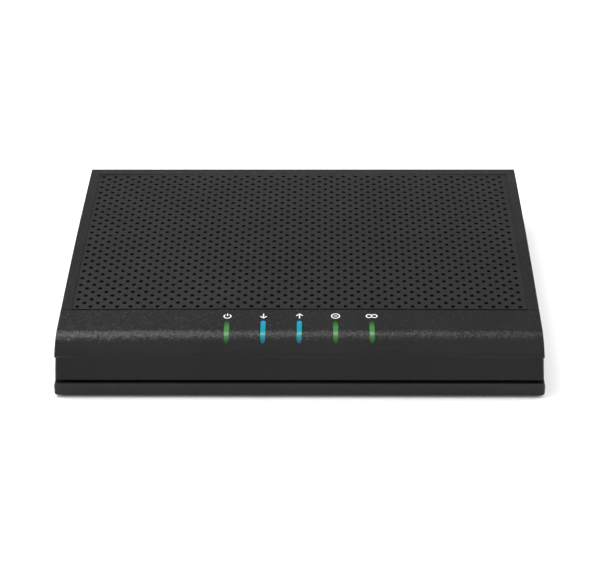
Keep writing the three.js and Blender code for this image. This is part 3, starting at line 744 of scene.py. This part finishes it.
def pipe_outline(grow, end_steps=10, side_steps=20):
    """The window's outline as (across, along) pairs, with along from 0 at the rear end to 1."""
    length = window_length()
    half = PIPE_HALF_WIDTH + grow
    rear_end = PIPE_HALF_WIDTH
    side = []
    for i in range(end_steps + 1):
        angle = math.pi / 2 * i / end_steps
        side.append((half * math.sin(angle), (rear_end - (rear_end + grow) * math.cos(angle)) / length))
    straight_start = rear_end / length
    straight_end = 1 - PIPE_TAPER / length
    for i in range(1, side_steps):
        side.append((half, straight_start + (straight_end - straight_start) * i / side_steps))
    for i in range(end_steps):
        angle = math.pi / 2 * i / end_steps
        reach = (PIPE_TAPER + grow) * math.sin(angle)
        side.append((half * math.cos(angle) ** PIPE_BLUNTNESS, 1 + (reach - PIPE_TAPER) / length))
    side.append((0.0, 1 + grow / length))
    mirrored = [(-x, s) for x, s in side[-2:0:-1]]
    return side + mirrored


def window_curve(share):
    """The surface point and normal at a share of the way along a light pipe's window."""
    y = PIPE_BACK_Y + (PIPE_FRONT_Y - PIPE_BACK_Y) * window_share(share)
    z, normal = surface_point(y)
    return Vector((0, y, z)), normal


def window_share(share):
    """Even steps along the curve need uneven steps along Y."""
    return share * (1 + WINDOW_LEAD - WINDOW_LEAD * share)


def window_length():
    steps = 40
    places = [window_curve(i / steps)[0] for i in range(steps + 1)]
    return sum((b - a).length for a, b in zip(places, places[1:]))


def pipe_body(name, x, grow, above, below, crowned=0.0):
    """A light pipe's head, or the tool that cuts its window, square to the bezel's surface."""
    outline = pipe_outline(grow)
    length = window_length()
    points = []
    for lift in (above, -below):
        for side, share in outline:
            on_curve = min(max(share, 0.0), 1.0)
            surface, normal = window_curve(on_curve)
            dome = crowned * (1 - (side / PIPE_HALF_WIDTH) ** 2) if lift >= 0 else 0
            along = Vector((0, -normal.z, normal.y))
            spot = surface + normal * (lift + dome) + along * (share - on_curve) * length
            points.append((x + side, spot.y, spot.z + bow(x)))
    count = len(outline)
    faces = []
    for i in range(count):
        j = (i + 1) % count
        faces.append((i, j, j + count, i + count))
    half = count // 2
    for start in (0, count):
        for i in range(half):
            right = (start + i, start + i + 1)
            left = (start + (count - i) % count, start + (count - i - 1) % count)
            face = (right[0], right[1], left[1], left[0])
            faces.append(tuple(dict.fromkeys(face)))
    obj = mesh_object(name, points, faces)
    face_outwards(obj)
    return obj


def pipe_x(index):
    return (index - (len(PIPES) - 1) / 2) * PIPE_PITCH


def front_bezel():
    surface = bezel_profile()
    last_y = surface[-1][0]
    outer = surface + [(last_y, LIP_Z), (SEAM_Y, LIP_Z)]
    lowest_bowed = surface[-1][1]
    obj = across("front_bezel_fine", outer, half_width, lambda z: z > lowest_bowed)
    inner_surface = bezel_profile(BEZEL_WALL)
    opening_y = SEAM_Y + BEZEL_WALL
    inner = [(opening_y, inner_surface[0][1])] + inner_surface
    inner += [(inner_surface[-1][0], LIP_Z - BEZEL_WALL), (opening_y, LIP_Z - BEZEL_WALL)]
    hollow = across("hollow", inner, lambda z: half_width(z) - BEZEL_SIDE_WALL, lambda z: False)
    combine(obj, hollow, "DIFFERENCE")
    for index in range(len(PIPES)):
        window = pipe_body("window", pipe_x(index), PIPE_CLEARANCE, WINDOW_ABOVE, WINDOW_BELOW)
        combine(obj, window, "DIFFERENCE")

    def weight(a, b):
        at_side = min(abs(a.x), abs(b.x)) > half_width(max(a.z, b.z)) - NEAR_EDGE
        along_profile = abs(a.x - b.x) < TOP_HALF_X / BEZEL_COLUMNS
        above_lip = min(a.z, b.z) > LIP_Z - NEAR_EDGE
        return 1.0 if at_side and along_profile and above_lip else INNER_EDGE_SHARE

    round_edges(obj, width=0.45, weight=weight)
    dress(obj, HOUSING, "housing", node="front_bezel")


def light_pipes():
    for index, pipe in enumerate(PIPES):
        node = f"light_pipe_{pipe}"
        obj = pipe_body(f"{node}_fine", pipe_x(index), 0.0, 0.0, PIPE_HEAD_DEPTH, PIPE_DOME)
        low, high = node_box(node)
        left, right = low.x + STEM_MARGIN, high.x - STEM_MARGIN
        stem = block("stem", left, right, STEM_FRONT_Y, STEM_BACK_Y, low.z, STEM_TOP_Z)
        combine(obj, stem, "UNION")
        round_edges(obj, width=0.12)
        material, slot = (BLUE_PIPE, "pipe_blue") if pipe in BLUE_PIPES else (GREEN_PIPE, "pipe_green")
        dress(obj, material, slot, node=node)


# ------------------------------------------------------------------ printed symbols

def arc(x, y, radius, start, end, steps=28):
    """Points along part of a circle, with angles in degrees."""
    angles = [math.radians(start + (end - start) * i / steps) for i in range(steps + 1)]
    return [(x + radius * math.cos(a), y + radius * math.sin(a)) for a in angles]


SYMBOLS = {
    "power": [arc(0, -0.12, 0.82, 125, 415), [(0, 1), (0, 0.05)]],
    "downstream": [[(0, 1), (0, -0.72)], [(-0.75, -0.12), (0, -0.87), (0.75, -0.12)]],
    "upstream": [[(0, -1), (0, 0.72)], [(-0.75, 0.12), (0, 0.87), (0.75, 0.12)]],
    "online": [arc(0, 0, 0.95, 0, 360), [(-0.42, 0), (0.42, 0)]],
    "link": [arc(-0.62, 0, 0.66, 0, 360), arc(0.62, 0, 0.66, 0, 360)],
}


def stroke_sections(path):
    """Left and right points along a path, in millimetres from the symbol's centre, and if it closes."""
    path = [Vector(point) * SYMBOL_HALF for point in path]
    closed = (path[0] - path[-1]).length < STROKE_WIDTH / 2
    if closed:
        path = path[:-1]
    sections = []
    for i, point in enumerate(path):
        before = path[i - 1] if closed or i else point
        after = path[(i + 1) % len(path)] if closed or i < len(path) - 1 else point
        incoming = (point - before).normalized() if point != before else (after - point).normalized()
        outgoing = (after - point).normalized() if after != point else incoming
        normal = Vector((-(incoming + outgoing).y, (incoming + outgoing).x)).normalized()
        square = Vector((-incoming.y, incoming.x))
        reach = STROKE_WIDTH / 2 / max(normal.dot(square), SHARPEST_CORNER)
        sections.append((point + normal * reach, point - normal * reach))
    return sections, closed


def printed_symbols():
    """White ink on the bezel behind each light pipe: thin closed ribbons that follow its surface."""
    for index, pipe in enumerate(PIPES):
        points = []
        faces = []
        for path in SYMBOLS[pipe]:
            sections, closed = stroke_sections(path)
            first = len(points)
            for left, right in sections:
                upper = [(left, INK_THICKNESS), (right, INK_THICKNESS)]
                lower = [(right, -INK_SINK), (left, -INK_SINK)]
                for side, lift in upper + lower:
                    x = pipe_x(index) + side.x
                    y = SYMBOL_Y + side.y
                    points.append((x, y, surface_point(y)[0] + bow(x) + lift))
            count = len(sections)
            for i in range(count if closed else count - 1):
                a = first + 4 * i
                b = first + 4 * ((i + 1) % count)
                for k in range(4):
                    m = (k + 1) % 4
                    faces.append((a + k, a + m, b + m, b + k))
            if not closed:
                faces.append((first, first + 3, first + 2, first + 1))
                last = first + 4 * (count - 1)
                faces.append((last, last + 1, last + 2, last + 3))
        obj = mesh_object(f"symbol_{pipe}", points, faces)
        face_outwards(obj)
        dress(obj, INK, "white_plastic")


# ------------------------------------------------------------------ rest of the enclosure

def top_cover():
    obj = copy_of("top_cover")
    border_front = place(0, SEAM_Y + SEAM_GAP, 0).y
    cad_front = place(0, CAD_BORDER_FRONT_Y, 0).y
    for vertex in obj.data.vertices:
        if abs(vertex.co.y - cad_front) < NEAR_EDGE * MM:
            vertex.co.y = border_front
        share = (vertex.co.z / MM - BOW_START_Z) / (BOW_FULL_Z - BOW_START_Z)
        vertex.co.z += bow(vertex.co.x / MM) * min(max(share, 0), 1) * MM

    def weight(a, b):
        outside_x = min(abs(a.x), abs(b.x)) > COVER_SIDE_X
        outside_y = min(a.y, b.y) > COVER_BACK_Y
        above = min(a.z, b.z) > COVER_EDGE_Z
        on_the_outside = (above, outside_x, outside_y).count(True) >= 2
        return 1.0 if on_the_outside else INNER_EDGE_SHARE

    round_edges(obj, width=0.3, weight=weight, segments=4, crowned=True)
    dress(obj, HOUSING, "housing", node="top_cover")


def base_cover():
    refined("base_cover", HOUSING, "housing", width=0.25)


def body_shell():
    """The shell's upper edge is drawn up to the lip, so that only a hairline is left between them."""
    obj = copy_of("body_shell")
    edge = place(0, 0, BODY_EDGE_Z).z
    for vertex in obj.data.vertices:
        if vertex.co.z > edge - BODY_EDGE_REACH * MM:
            vertex.co.z = edge
            if vertex.co.y < place(0, SEAM_Y, 0).y:
                vertex.co.y -= BODY_FRONT_REACH * MM
    round_edges(obj, width=0.12)
    dress(obj, BODY, "housing", node="body_shell")


def rear_panel():
    refined("rear_panel", REAR, "rear_panel", width=0.15)


# ------------------------------------------------------------------ connectors and fastenings

def threaded_rod(name, axis_point, start_y, end_y, sides=48, steps_per_turn=8):
    """A rod along Y with a single helical thread, chamfered at its outer end."""
    levels = round((end_y - start_y) / THREAD_PITCH * steps_per_turn)
    rings = []
    for level in range(levels + 1):
        y = start_y + (end_y - start_y) * level / levels
        chamfer = max(0.0, THREAD_CHAMFER - (end_y - y))

        def radius_at(share):
            phase = ((y - start_y) / THREAD_PITCH - share) % 1.0
            flank = THREAD_STEEPNESS * (1 - abs(2 * phase - 1)) - THREAD_CREST
            valley = THREAD_DEPTH * min(1.0, max(0.0, flank))
            return THREAD_RADIUS - max(valley, chamfer)

        rings.append(ring_about(axis_point, y, radius_at, sides))
    return lofted(name, rings)


def coax_connector():
    ring_low, ring_high = node_box("coax_nut")
    low, high = node_box("coax_body")
    axis = ((ring_low.x + ring_high.x) / 2, (ring_low.z + ring_high.z) / 2)
    casting_end = node_box("rear_panel")[0].y - PANEL_GAP
    obj = block("coax_body_fine", low.x, high.x, low.y, casting_end, low.z, high.z)
    rod_start = casting_end - BARREL_OVERLAP
    combine(obj, threaded_rod("barrel", axis, rod_start, high.y), "UNION")
    mouth_y = high.y - BORE_MOUTH_DEPTH
    past_end_y = high.y + BORE_MOUTH_DEPTH
    bore = [(BORE_RADIUS, BORE_BACK_Y), (BORE_RADIUS, mouth_y), (BORE_MOUTH_RADIUS, past_end_y)]
    combine(obj, turned("bore", axis, bore), "DIFFERENCE")
    round_edges(obj, width=0.12, from_angle=60)
    dress(obj, NICKEL, "connector_metal", node="coax_body")

    low, high = node_box("coax_nut")
    flats, corners = sorted(((high.x - low.x) / 2, (high.z - low.z) / 2))
    near, far = low.y + NUT_CHAMFER, high.y - NUT_CHAMFER
    profile = [(flats, low.y), (corners, near), (corners, far), (flats, high.y)]
    nut = turned("coax_nut_fine", axis, profile, 72)
    combine(nut, copy_of("coax_nut"), "INTERSECT")
    round_edges(nut, width=0.08)
    dress(nut, NICKEL, "connector_metal", node="coax_nut")
    refined("coax_washer", NICKEL, "connector_metal", width=0.12)
    refined("coax_insulator", WHITE, "white_plastic", width=0.2)
    refined("coax_contact", GOLD, "contact_gold", width=0.1)


def sockets():
    refined("ethernet_jack", PORT, "port_plastic", width=0.22)
    refined("ethernet_contacts", GOLD, "contact_gold", width=0.05)
    refined("power_jack", PORT, "port_plastic", width=0.25)
    refined("power_jack_pin", NICKEL, "connector_metal", width=0.25)
    refined("reset_plunger", WHITE, "white_plastic", width=0.2, body="reset_button")


def feet_and_screws():
    for end in ("front", "rear"):
        for side in ("left", "right"):
            refined(f"foot_{end}_{side}", RUBBER, "foot_rubber", width=0.3)
            refined(f"case_screw_{end}_{side}", STEEL, "screw_steel", width=0.15)
            refined(f"board_screw_{end}_{side}", STEEL, "screw_steel", width=0.15)


# ------------------------------------------------------------------ camera, light and floor

def camera():
    forward = Vector((
        math.sin(CAMERA_AZIMUTH) * math.cos(CAMERA_ELEVATION),
        math.cos(CAMERA_AZIMUTH) * math.cos(CAMERA_ELEVATION),
        -math.sin(CAMERA_ELEVATION)))
    level_right = Vector((math.cos(CAMERA_AZIMUTH), -math.sin(CAMERA_AZIMUTH), 0))
    level_up = level_right.cross(forward)
    right = level_right * math.cos(CAMERA_ROLL) - level_up * math.sin(CAMERA_ROLL)
    up = level_right * math.sin(CAMERA_ROLL) + level_up * math.cos(CAMERA_ROLL)
    data = bpy.data.cameras.new("camera")
    data.lens = CAMERA_LENS
    data.sensor_width = 36
    data.clip_end = 20
    obj = bpy.data.objects.new("camera", data)
    turn = Matrix((right, up, -forward)).transposed().to_4x4()
    obj.matrix_world = Matrix.Translation(place(*CAMERA_AIM) - forward * CAMERA_DISTANCE * MM) @ turn
    bpy.context.scene.collection.objects.link(obj)
    bpy.context.scene.camera = obj


def soft_box(name, azimuth, elevation, distance, size, radiance):
    """A rectangular soft light that faces the object, azimuth in degrees from +Y towards +X."""
    data = bpy.data.lights.new(name, "AREA")
    data.shape = "RECTANGLE"
    data.size, data.size_y = size
    data.energy = math.pi * radiance * size[0] * size[1]
    obj = bpy.data.objects.new(name, data)
    turn = math.radians(azimuth)
    rise = math.radians(elevation)
    direction = Vector((math.sin(turn) * math.cos(rise), math.cos(turn) * math.cos(rise), math.sin(rise)))
    obj.location = direction * distance
    obj.rotation_euler = direction.to_track_quat("Z", "Y").to_euler()
    bpy.context.scene.collection.objects.link(obj)


# Name, azimuth and elevation in degrees, distance and (width, height) in metres, radiance
LIGHTS = [
    ("key_left", -60, 60, 1.6, (1.4, 0.35), 8.50),
    ("key_top", -35, 72, 1.45, (1.3, 0.3), 6.62),
    ("overhead", 0, 90, 1.8, (2.4, 1.6), 0.62),
    ("front_fill", 180, 45, 2.0, (2.8, 1.2), 0.85),
    ("low_fill", 180, 15, 2.0, (3.2, 0.7), 0.75),
    ("left_fill", -90, 40, 2.0, (2.0, 1.4), 3.00),
    ("right_fill", 90, 40, 2.0, (2.0, 1.4), 2.81),
]
WORLD_STRENGTH = 0.32
FLOOR_HALF = 3000


def studio():
    far = FLOOR_HALF
    corners = [(-far, -far, 0), (far, -far, 0), (far, far, 0), (-far, far, 0)]
    floor = mesh_object("floor", corners, [(0, 1, 2, 3)])
    floor.data.materials.append(pale_floor("floor_paint"))
    world = bpy.data.worlds.new("studio")
    world.use_nodes = True
    background = world.node_tree.nodes["Background"]
    background.inputs["Color"].default_value = (1, 1, 1, 1)
    background.inputs["Strength"].default_value = WORLD_STRENGTH
    bpy.context.scene.world = world
    for light in LIGHTS:
        soft_box(*light)
    bpy.context.scene.view_settings.view_transform = "Standard"


# ------------------------------------------------------------------ CAD nodes that stay

STAYING = {
    "main_board": LAMINATE, "tuner_shield": TIN, "modem_chip": CHIP, "thermal_pad": PAD,
    "heat_sink": ALUMINIUM, "memory_chip": CHIP, "flash_chip": CHIP, "ethernet_transformer": CHIP,
    "clock_crystal": TIN, "filter_capacitor_a": SLEEVE, "filter_capacitor_b": SLEEVE,
    "filter_capacitor_c": SLEEVE, "power_inductor": FERRITE, "reset_switch": PORT,
}
STAYING.update({f"led_{pipe}": WHITE for pipe in PIPES})


def staying_nodes():
    """The pieces inside the case keep their CAD shape, with softened edges and a material."""
    for node, material in STAYING.items():
        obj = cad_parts[node]
        obj.data.materials.clear()
        obj.data.materials.append(material)
        weld = obj.modifiers.new("weld", "WELD")
        weld.merge_threshold = WELD_DISTANCE
        bevel = obj.modifiers.new("rounding", "BEVEL")
        bevel.width = INNER_ROUNDING * MM
        bevel.segments = 2
        bevel.limit_method = "ANGLE"
        bevel.angle_limit = math.radians(40)


camera()
studio()
staying_nodes()
vent_panel()
front_bezel()
light_pipes()
printed_symbols()
top_cover()
base_cover()
body_shell()
rear_panel()
coax_connector()
sockets()
feet_and_screws()
